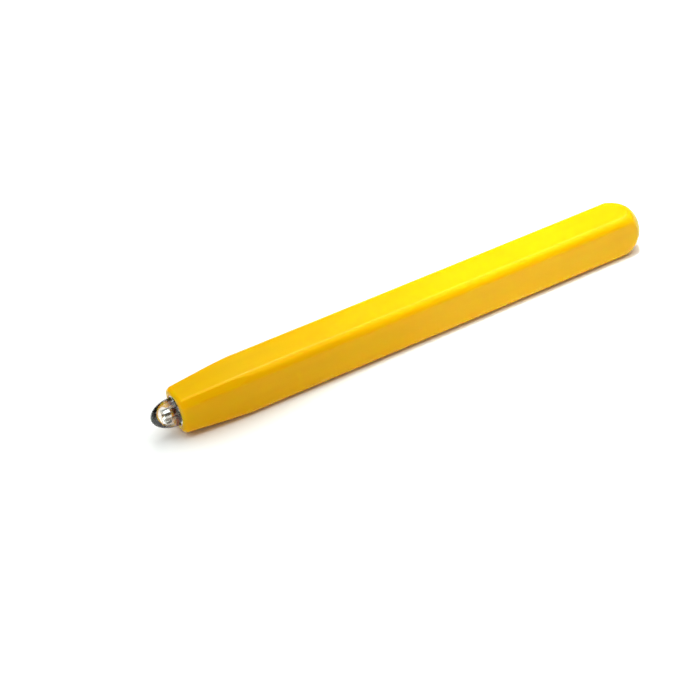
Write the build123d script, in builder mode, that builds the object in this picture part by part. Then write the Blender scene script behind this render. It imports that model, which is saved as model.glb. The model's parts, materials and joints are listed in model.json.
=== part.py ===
"""Counterfeit detector pen: a square pen torch with an ultraviolet LED in its nose.

Frame: the pen lies on one flat side. X runs along it from the LED to the tail, Z is up, and the
origin is under the middle of the pen, on the surface it lies on. Sizes are in millimetres.
"""

import os
from math import cos, radians, sqrt, tan

from build123d import *

# Body
half = 6.55                # half the width across two flat sides
corner_radius = 2.4        # rounding along the four long corners
barrel_length = 151.7
dome_length = 6.9          # how far the LED stands out of the front face

# Nose: each side tapers in a straight line and meets the body in a long arc
taper_angle = 4.1
taper_length = 12.8
blend_radius = 100.0
facet_start = 20.0         # how far behind the front face the corner facets begin
facet_depth = 0.2          # how deep a facet is cut into a rounded corner
rim_radius = 1.5

# Tail: a spherical crown with softened edges
crown_radius = 8.45
crown_edge_radius = 3.0

# LED
led_radius = 4.0
led_flange_radius = 4.6
led_flange_length = 1.5
lead_width = 0.5
lead_pitch = 2.54
cup_radius = 1.15
anvil_x = -3.2             # front of the reflector cup, measured from the front face

# Barrel bores, lengths measured from the front face
front_wall = 2.4
led_hole_radius = 4.42
collar_recess = 0.3        # how far the LED's collar sits behind the front face
collar_gap = 0.02
nose_bore_radius = 4.8
nose_bore_end = 14.0
cell_bore_radius = 5.45

# Cells, AAA size
cell_radius = 5.25
cell_length = 44.5
nub_radius = 1.9
nub_length = 0.8
jacket_wall = 0.15
cells_start = 29.0         # measured from the front face

# Board
board_width = 8.0
board_thickness = 2.0
board_start = 9.0
holder_end = 12.0

# Return strip, in a groove along one side of the bore
strip_width = 3.0
strip_inner = 5.5          # distance of its inner face from the axis
strip_outer = 5.8
strip_end = 6.0            # measured from the tail end
strip_end_gap = 0.2
strip_tab = 0.3
groove_gap = 0.05

# Tail plug, lengths measured from the tail end
plug_head_radius = 5.87
head_gap = 0.03
plug_seat = 4.0
plug_radius = 5.38
plug_end = 22.0
chamber_radius = 4.0
crown_wall = 2.4
ring_place = 7.0
ring_section = 0.45
ring_gap = 0.02

# Button and switch, lengths measured from the tail end
button_radius = 3.2
button_gap = 0.06
button_flange_radius = 3.85
button_flange_end = 3.4
stem_radius = 1.4
stem_end = 11.0
washer_radius = 3.1
washer_thickness = 0.4
contact_face = 12.55       # the fixed contacts, just past the pressed washer
switch_start = 13.0
switch_end = 19.0
switch_radius = 3.97
contact_ring_inner = 2.4
contact_ring_outer = 3.2
clip_thickness = 0.3
clip_width = 2.0
clip_gap = 0.05
leaf_start = 10.5
leaf_end = 16.0
rivet_radius = 0.6
rivet_head_radius = 1.9
seat_plate_radius = 3.7
seat_plate_end = 19.3
rivet_end = 19.7
return_spring_radius = 3.5
return_wire_radius = 0.18
return_spring_turns = 7
battery_spring_radius = 3.2
battery_wire_radius = 0.35
battery_spring_turns = 6
spring_gap = 0.02

# Derived places
tip_x = -(dome_length + barrel_length) / 2
face_x = tip_x + dome_length
tail_x = -tip_x
taper_slope = tan(radians(taper_angle))
blend_rise = blend_radius * (1 - cos(radians(taper_angle)))
nose_half = half - blend_rise - taper_length * taper_slope
corner_reach = sqrt(2) * (half - corner_radius) + corner_radius
cells_x = face_x + cells_start
cells_end_x = cells_x + 2 * cell_length

pen_axis = Axis((0, 0, half), (1, 0, 0))
side_plane = Plane(origin=(0, 0, half), x_dir=(1, 0, 0), z_dir=(0, -1, 0))
top_plane = Plane(origin=(0, 0, half), x_dir=(1, 0, 0), z_dir=(0, 0, 1))
diagonal_planes = [
    Plane(origin=(0, 0, half), x_dir=(1, 0, 0), z_dir=(0, -1, 1)),
    Plane(origin=(0, 0, half), x_dir=(1, 0, 0), z_dir=(0, 1, 1)),
]


def across(x):
    """The plane square to the pen at x, seen from the tail: its X is the pen's Y, its Y is up."""
    return Plane(origin=(x, 0, half), x_dir=(0, 1, 0), z_dir=(1, 0, 0))


def tube(start, end, outer, inner=0.0, mode=Mode.ADD):
    """A round bar or tube on the pen's axis."""
    with BuildSketch(across(start)) as section:
        Circle(outer)
        if inner:
            Circle(inner, mode=Mode.SUBTRACT)
    extrude(section.sketch, amount=end - start, mode=mode)


def bar(start, end, centre, width, height, mode=Mode.ADD):
    """A rectangular bar along the pen, with its centre at (y, height above the axis)."""
    with BuildSketch(across(start)) as section:
        with Locations(centre):
            Rectangle(width, height)
    extrude(section.sketch, amount=end - start, mode=mode)


def side_outline(plane):
    """The pen's outline from the side: straight taper, long arc, straight body."""
    with BuildSketch(plane) as outline:
        with BuildLine():
            taper = Line((face_x, nose_half), (face_x + taper_length, half - blend_rise))
            blend = JernArc(taper @ 1, taper % 1, blend_radius, -taper_angle)
            body = Line(blend @ 1, (tail_x, half))
            tail = Line(body @ 1, (tail_x, 0))
            middle = Line(tail @ 1, (face_x, 0))
            Line(middle @ 1, taper @ 0)
        make_face()
        mirror(about=Plane.XZ)
    return outline.sketch


def facet_outline(plane):
    """The outline through two corners, which cuts the nose's corners to flat facets."""
    knee_reach = corner_reach - sqrt(2) * blend_rise - facet_depth
    with BuildSketch(plane) as outline:
        with BuildLine():
            Polyline(
                (face_x, 0),
                (face_x, knee_reach - sqrt(2) * taper_length * taper_slope),
                (face_x + taper_length, knee_reach),
                (face_x + facet_start, corner_reach),
                (tail_x, 2 * corner_reach),
                (tail_x, 0),
                close=True,
            )
        make_face()
        mirror(about=Plane.XZ)
    return outline.sketch


def trim_to_crown():
    """Keep what lies in front of the crown's sphere."""
    with BuildSketch(side_plane) as section:
        with BuildLine():
            arc = CenterArc((tail_x - crown_radius, 0), crown_radius, 0, 90)
            Polyline(arc @ 1, (face_x, crown_radius), (face_x, 0), arc @ 0)
        make_face()
    revolve(section.sketch, pen_axis, mode=Mode.INTERSECT)


def helix_spring(start, end, radius, wire_radius, turns):
    """A round wire coil on the pen's axis, clear of the faces at its two ends."""
    height = end - start - 2 * wire_radius
    with BuildLine() as path:
        Helix(height / turns, height, radius, center=(start + wire_radius, 0, half), direction=(1, 0, 0))
    wire = path.line
    with BuildSketch(Plane(origin=wire @ 0, z_dir=wire % 0)) as section:
        Circle(wire_radius)
    sweep(section.sketch, path=wire, is_frenet=True)


def finish(piece, name):
    """Label a finished piece and write it."""
    piece.part.label = name
    export_step(piece.part, f"parts/{name}.step")


os.makedirs("parts", exist_ok=True)

# ---------------------------------------------------------------- barrel
with BuildPart() as barrel:
    extrude(side_outline(side_plane), amount=half + 1, both=True)
    extrude(side_outline(top_plane), amount=half + 1, both=True, mode=Mode.INTERSECT)
    long_corners = [
        edge
        for edge in barrel.edges()
        if edge.length > 5 and abs((edge % 0.5).X) > 0.9
    ]
    fillet(long_corners, radius=corner_radius)
    for diagonal in diagonal_planes:
        extrude(facet_outline(diagonal), amount=2 * half, both=True, mode=Mode.INTERSECT)
    trim_to_crown()
    fillet(barrel.faces().sort_by(Axis.X)[-1].edges(), radius=crown_edge_radius)
    fillet(barrel.faces().sort_by(Axis.X)[0].edges(), radius=rim_radius)
    tube(face_x - 1, face_x + front_wall, led_hole_radius, mode=Mode.SUBTRACT)
    tube(face_x + front_wall, face_x + nose_bore_end, nose_bore_radius, mode=Mode.SUBTRACT)
    tube(face_x + nose_bore_end, tail_x - plug_seat, cell_bore_radius, mode=Mode.SUBTRACT)
    tube(tail_x - plug_seat, tail_x, plug_head_radius + head_gap, mode=Mode.SUBTRACT)
    groove_outer = strip_outer + groove_gap
    bar(
        face_x + nose_bore_end,
        tail_x - plug_seat,
        (groove_outer / 2, 0),
        groove_outer,
        strip_width + 2 * groove_gap,
        mode=Mode.SUBTRACT,
    )
finish(barrel, "barrel")

# ---------------------------------------------------------------- LED
lead_height = lead_pitch / 2
lead_end = face_x + 15.0
cup_x = face_x + anvil_x
cup_length = 1.6
cup_depth = 0.8
cup_mouth_radius = 1.03
cup_floor_radius = 0.55
die_size = 0.36
die_thickness = 0.15
post_x = cup_x + 0.4
post_height = -1.85
post_depth = 0.6
post_width = 1.0
wire_radius = 0.05
wire_bend = 0.35

with BuildPart() as led_cathode:
    tube(cup_x, cup_x + cup_length, cup_radius)
    with BuildSketch(across(cup_x)) as mouth:
        Circle(cup_mouth_radius)
    with BuildSketch(across(cup_x + cup_depth)) as floor:
        Circle(cup_floor_radius)
    loft([mouth.sketch.face(), floor.sketch.face()], mode=Mode.SUBTRACT)
    web_top = lead_height + lead_width / 2
    bar(cup_x + cup_length, cup_x + 2 * cup_length, (0, web_top / 2), lead_width, web_top)
    bar(cup_x + cup_length, lead_end, (0, lead_height), lead_width, lead_width)
finish(led_cathode, "led_cathode")

with BuildPart() as led_anode:
    bar(cup_x + cup_length, lead_end, (0, -lead_height), lead_width, lead_width)
    bar(post_x, cup_x + cup_length, (0, post_height), post_width, post_depth)
    shoulder_bottom = post_height - post_depth / 2
    shoulder_height = lead_width / 2 - lead_height - shoulder_bottom
    bar(
        cup_x + cup_length,
        cup_x + cup_length + lead_width,
        (0, shoulder_bottom + shoulder_height / 2),
        post_width,
        shoulder_height,
    )
finish(led_anode, "led_anode")

die_x = cup_x + cup_depth - die_thickness
with BuildPart() as led_die:
    bar(die_x, cup_x + cup_depth, (0, 0), die_size, die_size)
finish(led_die, "led_die")

with BuildPart() as bond_wire:
    loop_x = cup_x - 10 * wire_radius
    with BuildLine(side_plane) as loop:
        FilletPolyline(
            (die_x, 0),
            (loop_x, -4 * wire_radius),
            (loop_x, post_height + 4 * wire_radius),
            (post_x, post_height),
            radius=wire_bend,
        )
    with BuildSketch(across(die_x)) as wire_section:
        Circle(wire_radius)
    sweep(wire_section.sketch, path=loop.line)
finish(bond_wire, "bond_wire")

flange_x = face_x + front_wall
with BuildPart() as led_body:
    with BuildSketch(side_plane) as led_section:
        with BuildLine():
            dome = EllipticalCenterArc((face_x, 0), dome_length, led_radius, start_angle=90, arc_size=90)
            Polyline(
                dome @ 1,
                (flange_x + led_flange_length, 0),
                (flange_x + led_flange_length, led_flange_radius),
                (flange_x, led_flange_radius),
                (flange_x, led_radius),
                dome @ 0,
            )
        make_face()
    revolve(led_section.sketch, pen_axis)
    flat_depth = led_flange_radius - led_radius
    bar(
        flange_x,
        flange_x + led_flange_length,
        (0, led_radius + flat_depth / 2),
        2 * led_flange_radius,
        flat_depth,
        mode=Mode.SUBTRACT,
    )
    for embedded in (led_cathode, led_anode, led_die, bond_wire):
        add(embedded.part, mode=Mode.SUBTRACT)
finish(led_body, "led_body")

with BuildPart() as led_collar:
    tube(face_x + collar_recess, flange_x, led_hole_radius - collar_gap, led_radius + collar_gap)
finish(led_collar, "led_collar")

holder_start = flange_x + led_flange_length
holder_radius = nose_bore_radius - 0.05
holder_bore_radius = 3.6
with BuildPart() as led_holder:
    tube(holder_start, face_x + holder_end, holder_radius, holder_bore_radius)
    bar(
        face_x + board_start,
        face_x + holder_end,
        (0, 0),
        board_width,
        board_thickness,
        mode=Mode.SUBTRACT,
    )
finish(led_holder, "led_holder")

# ---------------------------------------------------------------- board
board_top = board_thickness / 2
resistor_x = face_x + 18.5
resistor_length = 3.2
resistor_width = 1.6
resistor_height = 0.55
resistor_end_length = 0.5
joint_start = face_x + 12.5
joint_end = lead_end - 0.2
joint_width = 1.6
joint_height = 0.75
joint_edge_radius = 0.3
contact_x = cells_x - 2.0
contact_thickness = 0.4
contact_radius = 4.6
pip_radius = 1.2
tab_length = 2.0
tab_width = 3.0
tab_thickness = 0.3

with BuildPart() as front_board:
    bar(face_x + board_start, contact_x, (0, 0), board_width, board_thickness)
finish(front_board, "front_board")

with BuildPart() as chip_resistor:
    bar(
        resistor_x + resistor_end_length,
        resistor_x + resistor_length - resistor_end_length,
        (0, board_top + resistor_height / 2),
        resistor_width,
        resistor_height,
    )
finish(chip_resistor, "chip_resistor")

with BuildPart() as resistor_ends:
    for end_x in (resistor_x, resistor_x + resistor_length - resistor_end_length):
        bar(
            end_x,
            end_x + resistor_end_length,
            (0, board_top + resistor_height / 2),
            resistor_width,
            resistor_height,
        )
finish(resistor_ends, "resistor_ends")

with BuildPart() as solder_joints:
    for side in (1, -1):
        bar(joint_start, joint_end, (0, side * (board_top + joint_height / 2)), joint_width, joint_height)
    faces_by_height = solder_joints.faces().sort_by(Axis.Z)
    fillet(faces_by_height[-1].edges() + faces_by_height[0].edges(), radius=joint_edge_radius)
    for lead in (led_cathode, led_anode):
        add(lead.part, mode=Mode.SUBTRACT)
finish(solder_joints, "solder_joints")

with BuildPart() as front_contact:
    tube(contact_x, contact_x + contact_thickness, contact_radius)
    tube(contact_x + contact_thickness, cells_x, pip_radius)
    bar(contact_x - tab_length, contact_x, (0, board_top + tab_thickness / 2), tab_width, tab_thickness)
finish(front_contact, "front_contact")

with BuildPart() as contact_strip:
    strip_start = face_x + nose_bore_end + strip_end_gap
    strip_thickness = strip_outer - strip_inner
    strip_middle = (strip_inner + strip_outer) / 2
    bar(strip_start, tail_x - strip_end, (strip_middle, 0), strip_thickness, strip_width)
    tab_reach = strip_outer - board_width / 2
    bar(
        strip_start,
        strip_start + strip_tab,
        (board_width / 2 + tab_reach / 2, 0),
        tab_reach,
        strip_width,
    )
finish(contact_strip, "contact_strip")

# ---------------------------------------------------------------- cells
seal_thickness = 0.4
seal_radius = 4.8
cap_radius = 3.9
nub_edge_radius = 0.25
jacket_end_gap = 0.4
for number in (1, 2):
    nub_x = cells_x + (number - 1) * cell_length
    cap_x = nub_x + nub_length
    can_x = cap_x + seal_thickness
    can_radius = cell_radius - jacket_wall
    with BuildPart() as cell_cap:
        tube(nub_x, cap_x, nub_radius)
        tube(cap_x, can_x, cap_radius)
        fillet(cell_cap.faces().sort_by(Axis.X)[0].edges(), radius=nub_edge_radius)
    finish(cell_cap, f"cell_{number}_cap")
    with BuildPart() as cell_seal:
        tube(cap_x, can_x, seal_radius, cap_radius)
    finish(cell_seal, f"cell_{number}_seal")
    with BuildPart() as cell_can:
        tube(can_x, nub_x + cell_length, can_radius)
    finish(cell_can, f"cell_{number}_can")
    with BuildPart() as cell_jacket:
        tube(can_x, nub_x + cell_length - jacket_end_gap, cell_radius, can_radius)
    finish(cell_jacket, f"cell_{number}_jacket")

# ---------------------------------------------------------------- tail plug
clip_x = tail_x - switch_start - clip_thickness
leaf_outer = strip_inner - 0.02
leaf_inner = leaf_outer - clip_thickness
slot_width = clip_width + 2 * clip_gap
ring_radius = cell_bore_radius - ring_gap - ring_section

with BuildPart() as tail_plug:
    tube(tail_x - plug_end, tail_x - plug_seat, plug_radius)
    tube(tail_x - plug_seat, tail_x, plug_head_radius)
    trim_to_crown()
    tube(tail_x - plug_end, tail_x - crown_wall, chamber_radius, mode=Mode.SUBTRACT)
    tube(tail_x - crown_wall, tail_x, button_radius, mode=Mode.SUBTRACT)
    tube(
        tail_x - ring_place - ring_section,
        tail_x - ring_place + ring_section,
        cell_bore_radius,
        ring_radius - ring_section,
        mode=Mode.SUBTRACT,
    )
    leaf_pocket = cell_bore_radius - leaf_inner + clip_gap
    bar(
        tail_x - leaf_end - clip_gap,
        tail_x - leaf_start + clip_gap,
        (cell_bore_radius - leaf_pocket / 2, 0),
        leaf_pocket,
        slot_width,
        mode=Mode.SUBTRACT,
    )
    bar(
        clip_x - clip_gap,
        clip_x + clip_thickness + clip_gap,
        (cell_bore_radius / 2, 0),
        cell_bore_radius,
        slot_width,
        mode=Mode.SUBTRACT,
    )
finish(tail_plug, "tail_plug")

with BuildPart() as plug_o_ring:
    with BuildSketch(side_plane) as ring_sketch:
        with Locations((tail_x - ring_place, ring_radius)):
            Circle(ring_section)
    revolve(ring_sketch.sketch, pen_axis)
finish(plug_o_ring, "plug_o_ring")

with BuildPart() as switch_base:
    tube(tail_x - switch_end, tail_x - switch_start, switch_radius, rivet_radius)
    recess_reach = chamber_radius - contact_ring_inner
    bar(
        clip_x,
        tail_x - switch_start,
        (contact_ring_inner + recess_reach / 2, 0),
        recess_reach,
        clip_width,
        mode=Mode.SUBTRACT,
    )
finish(switch_base, "switch_base")

with BuildPart() as contact_ring:
    tube(tail_x - switch_start, tail_x - contact_face, contact_ring_outer, contact_ring_inner)
finish(contact_ring, "contact_ring")

with BuildPart() as side_clip:
    clip_reach = leaf_outer - contact_ring_inner
    bar(
        clip_x,
        clip_x + clip_thickness,
        (contact_ring_inner + clip_reach / 2, 0),
        clip_reach,
        clip_width,
    )
    bar(
        tail_x - leaf_end,
        tail_x - leaf_start,
        ((leaf_inner + leaf_outer) / 2, 0),
        clip_thickness,
        clip_width,
    )
finish(side_clip, "side_clip")

with BuildPart() as spring_plate:
    tube(tail_x - seat_plate_end, tail_x - switch_end, seat_plate_radius, rivet_radius)
finish(spring_plate, "spring_plate")

with BuildPart() as spring_rivet:
    tube(tail_x - seat_plate_end, tail_x - switch_start, rivet_radius)
    tube(tail_x - switch_start, tail_x - contact_face, rivet_head_radius)
    tube(tail_x - rivet_end, tail_x - seat_plate_end, rivet_head_radius)
finish(spring_rivet, "spring_rivet")

with BuildPart() as battery_spring:
    helix_spring(
        cells_end_x + spring_gap,
        tail_x - seat_plate_end - spring_gap,
        battery_spring_radius,
        battery_wire_radius,
        battery_spring_turns,
    )
finish(battery_spring, "battery_spring")

# ---------------------------------------------------------------- button
with BuildPart() as tail_button:
    tube(tail_x - crown_wall, tail_x, button_radius - button_gap)
    trim_to_crown()
    tube(tail_x - button_flange_end, tail_x - crown_wall, button_flange_radius)
    tube(tail_x - stem_end, tail_x - button_flange_end, stem_radius)
finish(tail_button, "tail_button")

with BuildPart() as contact_washer:
    tube(tail_x - stem_end, tail_x - stem_end + washer_thickness, washer_radius, stem_radius)
finish(contact_washer, "contact_washer")

with BuildPart() as return_spring:
    helix_spring(
        tail_x - switch_start + spring_gap,
        tail_x - button_flange_end - spring_gap,
        return_spring_radius,
        return_wire_radius,
        return_spring_turns,
    )
finish(return_spring, "return_spring")
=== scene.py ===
"""Looks of the counterfeit detector pen: glossy yellow plastic, a clear LED, studio floor and light.

The frame is the CAD model's: X runs along the pen from the LED to the tail, Z is up, in metres.
"""

import json
import math

import bmesh
import bpy
from mathutils import Matrix, Vector


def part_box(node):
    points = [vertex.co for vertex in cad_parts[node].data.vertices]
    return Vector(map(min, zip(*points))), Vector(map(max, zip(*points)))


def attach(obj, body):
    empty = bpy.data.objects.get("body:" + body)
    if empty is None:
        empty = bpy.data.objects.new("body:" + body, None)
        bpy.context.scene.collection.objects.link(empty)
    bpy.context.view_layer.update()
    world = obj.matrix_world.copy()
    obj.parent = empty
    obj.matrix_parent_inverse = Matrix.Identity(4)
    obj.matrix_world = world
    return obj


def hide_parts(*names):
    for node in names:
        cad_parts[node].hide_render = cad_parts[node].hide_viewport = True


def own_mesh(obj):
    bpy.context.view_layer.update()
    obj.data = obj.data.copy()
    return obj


MM = 0.001

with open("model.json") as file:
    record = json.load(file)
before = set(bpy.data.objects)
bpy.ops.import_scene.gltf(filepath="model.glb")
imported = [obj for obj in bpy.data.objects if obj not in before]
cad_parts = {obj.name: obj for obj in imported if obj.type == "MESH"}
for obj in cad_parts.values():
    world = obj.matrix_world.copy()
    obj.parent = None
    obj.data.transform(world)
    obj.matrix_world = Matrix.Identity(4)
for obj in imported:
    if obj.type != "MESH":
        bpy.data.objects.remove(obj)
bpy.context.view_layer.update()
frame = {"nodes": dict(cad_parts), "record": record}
nodes = frame["nodes"]

# The pen's own places, read from the frame
barrel_low, barrel_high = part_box("barrel")
led_low, led_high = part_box("led_body")
axis_height = (barrel_low.z + barrel_high.z) / 2
face_x = barrel_low.x
pen_middle = Vector((0.0, 0.0, axis_height))


# ------------------------------------------------------------ node helpers
class Look:
    """One procedural material and the few node patterns that the finishes share."""

    def __init__(self, name):
        self.material = bpy.data.materials.new(name)
        self.material.use_nodes = True
        self.tree = self.material.node_tree
        self.shader = self.tree.nodes["Principled BSDF"]

    def set(self, **values):
        """Set constants on the shader's own sockets, with _ for a space."""
        for name, value in values.items():
            self.shader.inputs[name.replace("_", " ")].default_value = value

    def link(self, source, target):
        self.tree.links.new(source, target)

    def place(self, stretch=(1.0, 1.0, 1.0)):
        """Object coordinates in metres, with features stretched along each axis."""
        coordinates = self.tree.nodes.new("ShaderNodeTexCoord")
        mapping = self.tree.nodes.new("ShaderNodeMapping")
        mapping.inputs["Scale"].default_value = [1.0 / length for length in stretch]
        self.link(coordinates.outputs["Object"], mapping.inputs["Vector"])
        return mapping.outputs["Vector"]

    def noise(self, size, detail=3.0, stretch=(1.0, 1.0, 1.0)):
        """Cloudy noise whose features are about size across."""
        texture = self.tree.nodes.new("ShaderNodeTexNoise")
        texture.inputs["Scale"].default_value = 1.0 / size
        texture.inputs["Detail"].default_value = detail
        self.link(self.place(stretch), texture.inputs["Vector"])
        return texture.outputs["Fac"]

    def spread(self, source, low, high):
        """Rescale noise, which mostly lies between 0.3 and 0.7, to low..high."""
        rescale = self.tree.nodes.new("ShaderNodeMapRange")
        rescale.inputs["From Min"].default_value = 0.3
        rescale.inputs["From Max"].default_value = 0.7
        rescale.inputs["To Min"].default_value = low
        rescale.inputs["To Max"].default_value = high
        self.link(source, rescale.inputs["Value"])
        return rescale.outputs["Result"]

    def colours(self, source, stops):
        """A colour ramp over a 0..1 value: stops are (position, linear colour)."""
        ramp = self.tree.nodes.new("ShaderNodeValToRGB")
        elements = ramp.color_ramp.elements
        while len(elements) < len(stops):
            elements.new(0.5)
        for element, (position, colour) in zip(elements, stops):
            element.position = position
            element.color = (*colour, 1.0)
        self.link(source, ramp.inputs["Fac"])
        self.link(ramp.outputs["Color"], self.shader.inputs["Base Color"])

    def roughness(self, source, low, high):
        self.link(self.spread(source, low, high), self.shader.inputs["Roughness"])

    def bump(self, source, depth, strength=1.0):
        bump = self.tree.nodes.new("ShaderNodeBump")
        bump.inputs["Strength"].default_value = strength
        bump.inputs["Distance"].default_value = depth
        self.link(source, bump.inputs["Height"])
        self.link(bump.outputs["Normal"], self.shader.inputs["Normal"])


def yellow_plastic():
    """Glossy moulded plastic: faint flow streaks, slightly uneven gloss, a trace of orange peel."""
    look = Look("yellow_plastic")
    flow = look.noise(6 * MM, detail=4.0, stretch=(4.0, 1.0, 1.0))
    look.colours(flow, [(0.30, (0.76, 0.400, 0.0010)), (0.70, (0.80, 0.428, 0.0014))])
    look.roughness(look.noise(2 * MM, detail=5.0, stretch=(3.0, 1.0, 1.0)), 0.15, 0.21)
    look.bump(look.noise(1.4 * MM, detail=1.0), 0.006 * MM, 0.5)
    look.set(
        IOR=1.5,
        Specular_IOR_Level=0.3,
        Specular_Tint=(1.0, 0.72, 0.05, 1.0),
        Subsurface_Weight=1.0,
        Subsurface_Radius=(1.0, 0.45, 0.05),
        Subsurface_Scale=2.0 * MM,
    )
    return look.material


def clear_epoxy():
    """Clear cast epoxy with a trace of haze."""
    look = Look("clear_epoxy")
    look.colours(look.noise(3 * MM), [(0.3, (0.97, 0.96, 0.95)), (0.7, (0.99, 0.99, 0.98))])
    look.roughness(look.noise(1.5 * MM), 0.0, 0.03)
    look.bump(look.noise(1.2 * MM, detail=2.0), 0.004 * MM, 0.4)
    look.set(Transmission_Weight=1.0, IOR=1.5)
    return look.material


def metal(name, dark, light, grain=(1.0, 1.0, 1.0), grain_size=0.3 * MM, gloss=(0.12, 0.28)):
    """A metal with tarnish between two colours, and fine grain that may run one way."""
    look = Look(name)
    look.colours(look.noise(1.2 * MM, detail=4.0), [(0.3, dark), (0.7, light)])
    lines = look.noise(grain_size, detail=3.0, stretch=grain)
    look.roughness(lines, *gloss)
    look.bump(lines, 0.004 * MM, 0.4)
    look.set(Metallic=1.0)
    return look.material


def moulding(name, dark, light, gloss, grain_size, depth):
    """A dull moulded part: two close colours, uneven gloss, and a fine grain."""
    look = Look(name)
    look.colours(look.noise(2 * MM, detail=4.0), [(0.3, dark), (0.7, light)])
    look.roughness(look.noise(0.8 * MM), *gloss)
    look.bump(look.noise(grain_size, detail=2.0), depth, 0.6)
    return look.material


def board_green():
    """Solder mask over glass cloth, whose weave shows as a fine grid in the colour and the surface."""
    look = Look("board_green")
    weave = look.tree.nodes.new("ShaderNodeTexBrick")
    weave.offset = 0.5
    weave.inputs["Scale"].default_value = 1.0 / (1.2 * MM)
    weave.inputs["Mortar Size"].default_value = 0.03
    weave.inputs["Color1"].default_value = (0.012, 0.15, 0.045, 1.0)
    weave.inputs["Color2"].default_value = (0.018, 0.19, 0.06, 1.0)
    weave.inputs["Mortar"].default_value = (0.008, 0.10, 0.03, 1.0)
    look.link(look.place(), weave.inputs["Vector"])
    look.link(weave.outputs["Color"], look.shader.inputs["Base Color"])
    look.roughness(look.noise(1.5 * MM), 0.2, 0.35)
    look.bump(weave.outputs["Fac"], 0.01 * MM, 0.4)
    return look.material


looks = {
    "yellow_plastic": yellow_plastic(),
    "clear_epoxy": clear_epoxy(),
    "silver_lead": metal("silver_lead", (0.50, 0.48, 0.44), (0.74, 0.73, 0.70), (6.0, 1.0, 1.0)),
    "die_grey": moulding(
        "die_grey", (0.05, 0.05, 0.08), (0.10, 0.10, 0.14), (0.2, 0.3), 0.1 * MM, 0.002 * MM
    ),
    "gold_wire": metal("gold_wire", (0.75, 0.45, 0.12), (0.90, 0.60, 0.22), gloss=(0.1, 0.2)),
    "black_plastic": moulding(
        "black_plastic", (0.006, 0.006, 0.006), (0.014, 0.013, 0.013), (0.45, 0.6), 0.15 * MM, 0.01 * MM
    ),
    "board_green": board_green(),
    "ceramic_black": moulding(
        "ceramic_black", (0.008, 0.008, 0.010), (0.025, 0.025, 0.03), (0.4, 0.6), 0.08 * MM, 0.006 * MM
    ),
    "tinned_metal": metal("tinned_metal", (0.52, 0.52, 0.51), (0.76, 0.76, 0.74), grain_size=0.5 * MM),
    "brass_contact": metal("brass_contact", (0.56, 0.34, 0.10), (0.80, 0.56, 0.22), (5.0, 1.0, 1.0)),
    "spring_steel": metal("spring_steel", (0.35, 0.35, 0.36), (0.58, 0.58, 0.58), grain_size=0.12 * MM),
    "black_rubber": moulding(
        "black_rubber", (0.008, 0.008, 0.008), (0.018, 0.018, 0.018), (0.55, 0.75), 0.1 * MM, 0.008 * MM
    ),
    "cell_metal": metal("cell_metal", (0.48, 0.48, 0.49), (0.66, 0.66, 0.67), (1.0, 8.0, 8.0)),
    "nickel_cap": metal("nickel_cap", (0.60, 0.57, 0.52), (0.74, 0.72, 0.68), gloss=(0.06, 0.18)),
    "cell_jacket_film": moulding(
        "cell_jacket_film", (0.008, 0.035, 0.16), (0.012, 0.055, 0.24), (0.18, 0.3), 2.5 * MM, 0.03 * MM
    ),
}

for part in frame["record"]["subparts"]:
    slots = nodes[part["node"]].data.materials
    slots.clear()
    slots.append(looks[part["material_slot"]])


# ------------------------------------------------------------ LED lens
def ring(mesh, x, radius, segments):
    """A circle of vertices around the pen's axis."""
    turns = [2 * math.pi * step / segments for step in range(segments)]
    return [
        mesh.verts.new((x, radius * math.cos(angle), axis_height + radius * math.sin(angle)))
        for angle in turns
    ]


def revolved(name, outline, segments=96):
    """A closed solid on the pen's axis from (x, radius) points, its two end points on the axis."""
    mesh = bmesh.new()
    first = mesh.verts.new((outline[0][0], 0.0, axis_height))
    last = mesh.verts.new((outline[-1][0], 0.0, axis_height))
    rings = [ring(mesh, x, radius, segments) for x, radius in outline[1:-1]]
    for step in range(segments):
        after = (step + 1) % segments
        mesh.faces.new((first, rings[0][step], rings[0][after]))
        mesh.faces.new((last, rings[-1][after], rings[-1][step]))
        for near, far in zip(rings, rings[1:]):
            mesh.faces.new((near[step], far[step], far[after], near[after]))
    bmesh.ops.recalc_face_normals(mesh, faces=mesh.faces)
    data = bpy.data.meshes.new(name)
    mesh.to_mesh(data)
    mesh.free()
    data.polygons.foreach_set("use_smooth", [True] * len(data.polygons))
    piece = bpy.data.objects.new(name, data)
    bpy.context.scene.collection.objects.link(piece)
    return piece


def lens_outline():
    """The epoxy body's profile: an elliptical dome, a plain shank and the flange behind it."""
    dome_radius = 4.0 * MM
    flange_length = 1.5 * MM
    edge = 0.15 * MM
    steps = 40
    flange_radius = (led_high.y - led_low.y) / 2
    flange_x = led_high.x - flange_length
    dome_length = face_x - led_low.x
    points = []
    for step in range(steps + 1):
        angle = 0.5 * math.pi * step / steps
        points.append((face_x - dome_length * math.cos(angle), dome_radius * math.sin(angle)))
    points.append((flange_x - edge, dome_radius))
    points.append((flange_x, dome_radius + edge))
    points.append((flange_x, flange_radius - edge))
    points.append((flange_x + edge, flange_radius))
    points.append((led_high.x - edge, flange_radius))
    points.append((led_high.x, flange_radius - edge))
    points.append((led_high.x, 0.0))
    return points


lens = revolved("led_lens", lens_outline())
lens.data.materials.append(looks["clear_epoxy"])
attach(lens, "root")
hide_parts("led_body")


# ------------------------------------------------------------ return spring
def return_coil():
    """The button's spring as a piece of its own, carried by the plug."""
    coil = bpy.data.objects.new("return_coil", nodes["return_spring"].data.copy())
    bpy.context.scene.collection.objects.link(coil)
    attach(coil, "plug")
    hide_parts("return_spring")
    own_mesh(coil)


return_coil()


# ------------------------------------------------------------ floor and light
FLOOR_REACH = 6.0          # from the floor's middle to each edge, in metres
SPOT_SOURCE_RADIUS = 0.04  # in metres


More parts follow.
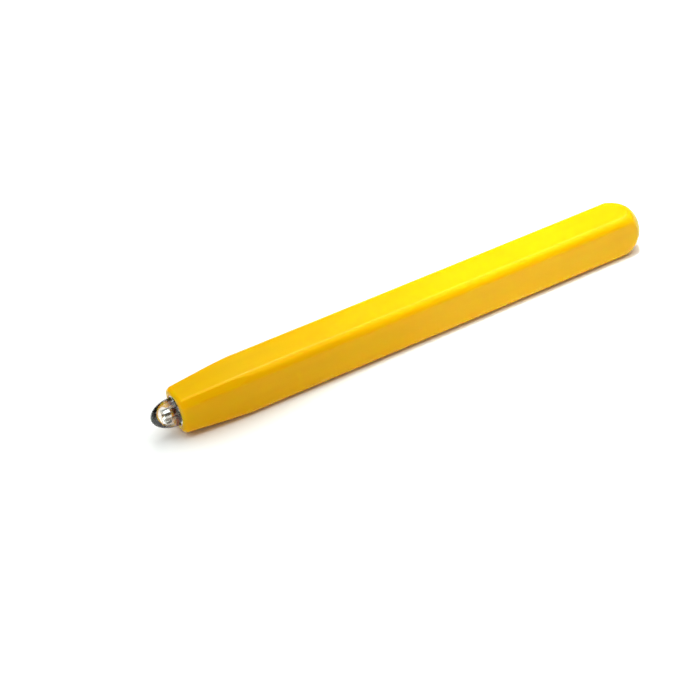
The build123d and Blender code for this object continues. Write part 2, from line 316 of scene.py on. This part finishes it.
def floor():
    """A wide white table top that the pen lies on."""
    mesh = bmesh.new()
    bmesh.ops.create_grid(mesh, x_segments=1, y_segments=1, size=FLOOR_REACH)
    data = bpy.data.meshes.new("floor")
    mesh.to_mesh(data)
    mesh.free()
    look = Look("white_floor")
    look.colours(look.noise(0.2), [(0.3, (0.96, 0.88, 0.88)), (0.7, (0.97, 0.90, 0.90))])
    look.set(Roughness=0.8, Specular_IOR_Level=0.2)
    data.materials.append(look.material)
    piece = bpy.data.objects.new("floor", data)
    bpy.context.scene.collection.objects.link(piece)


def hang(name, data, position, target):
    """Put a light in the scene so that it faces a target."""
    light = bpy.data.objects.new(name, data)
    light.location = position
    light.rotation_euler = (Vector(target) - Vector(position)).to_track_quat("-Z", "Y").to_euler()
    bpy.context.scene.collection.objects.link(light)


def lamp(name, position, target, size, power, colour):
    """A rectangular soft light, its size as (width, depth)."""
    data = bpy.data.lights.new(name, "AREA")
    data.shape = "RECTANGLE"
    data.size, data.size_y = size
    data.energy = power
    data.color = colour
    hang(name, data, position, target)


def spot(name, position, target, cone, blend, power, colour):
    """A soft-edged pool of light, its full cone in degrees."""
    data = bpy.data.lights.new(name, "SPOT")
    data.spot_size = math.radians(cone)
    data.spot_blend = blend
    data.shadow_soft_size = SPOT_SOURCE_RADIUS
    data.energy = power
    data.color = colour
    hang(name, data, position, target)


def surroundings():
    """Dim, slightly warm surroundings, so that the gloss stays clean."""
    world = bpy.data.worlds.new("studio")
    bpy.context.scene.world = world
    world.use_nodes = True
    background = world.node_tree.nodes["Background"]
    background.inputs["Color"].default_value = (1.0, 0.95, 0.80, 1.0)
    background.inputs["Strength"].default_value = 0.12


floor()
surroundings()

# Broad light overhead. Its back edge is 46 degrees up, higher than what the top face mirrors
lamp(
    "ceiling",
    position=(0.0, 0.65, 2.5),
    target=(0.0, 0.65, 0.0),
    size=(6.0, 3.5),
    power=156.0,
    colour=(0.86, 1.0, 1.0),
)
# Small light behind the pen that draws the line along its upper front corner
lamp(
    "crease_strip",
    position=(0.26, 0.60, 0.82),
    target=(-0.03, 0.0, 0.01),
    size=(0.18, 0.35),
    power=0.9,
    colour=(1.0, 1.0, 0.9),
)
# Warm fill on the front face
lamp(
    "front_card",
    position=(-0.15, -0.80, 0.22),
    target=(0.0, 0.0, 0.0),
    size=(0.6, 0.3),
    power=1.0,
    colour=(1.0, 0.88, 0.70),
)
# Weak fill on the nose
lamp(
    "left_card",
    position=(-0.7, -0.15, 0.30),
    target=(-0.07, 0.0, 0.0),
    size=(0.5, 0.5),
    power=0.4,
    colour=(1.0, 1.0, 1.0),
)
# Pool of light that makes the tail half brighter than the nose
spot(
    "tail_spot",
    position=(0.075, 0.03, 0.50),
    target=(0.045, 0.0, 0.01),
    cone=19.7,
    blend=0.85,
    power=11.0,
    colour=(0.75, 1.0, 1.0),
)


# ------------------------------------------------------------ camera
def camera(azimuth, elevation, roll, distance, lens_mm, offset):
    """A camera that looks at the pen's middle: azimuth 0 looks along +Y, offset is in metres."""
    turn, lift, lean = math.radians(azimuth), math.radians(elevation), math.radians(roll)
    forward = Vector((-math.sin(turn) * math.cos(lift), math.cos(turn) * math.cos(lift), -math.sin(lift)))
    level = forward.cross(Vector((0.0, 0.0, 1.0))).normalized()
    rise = level.cross(forward)
    right = math.cos(lean) * level + math.sin(lean) * rise
    up = math.cos(lean) * rise - math.sin(lean) * level
    data = bpy.data.cameras.new("camera")
    data.lens = lens_mm
    data.sensor_width = 36.0
    view = bpy.data.objects.new("camera", data)
    place = pen_middle - forward * distance - right * offset[0] - up * offset[1]
    view.matrix_world = Matrix.Translation(place) @ Matrix((right, up, -forward)).transposed().to_4x4()
    bpy.context.scene.collection.objects.link(view)
    bpy.context.scene.camera = view


camera(
    azimuth=-27.81,
    elevation=36.58,
    roll=-5.17,
    distance=0.5469,
    lens_mm=100.89,
    offset=(0.0155, 0.0096),
)
bpy.context.scene.view_settings.view_transform = "Standard"
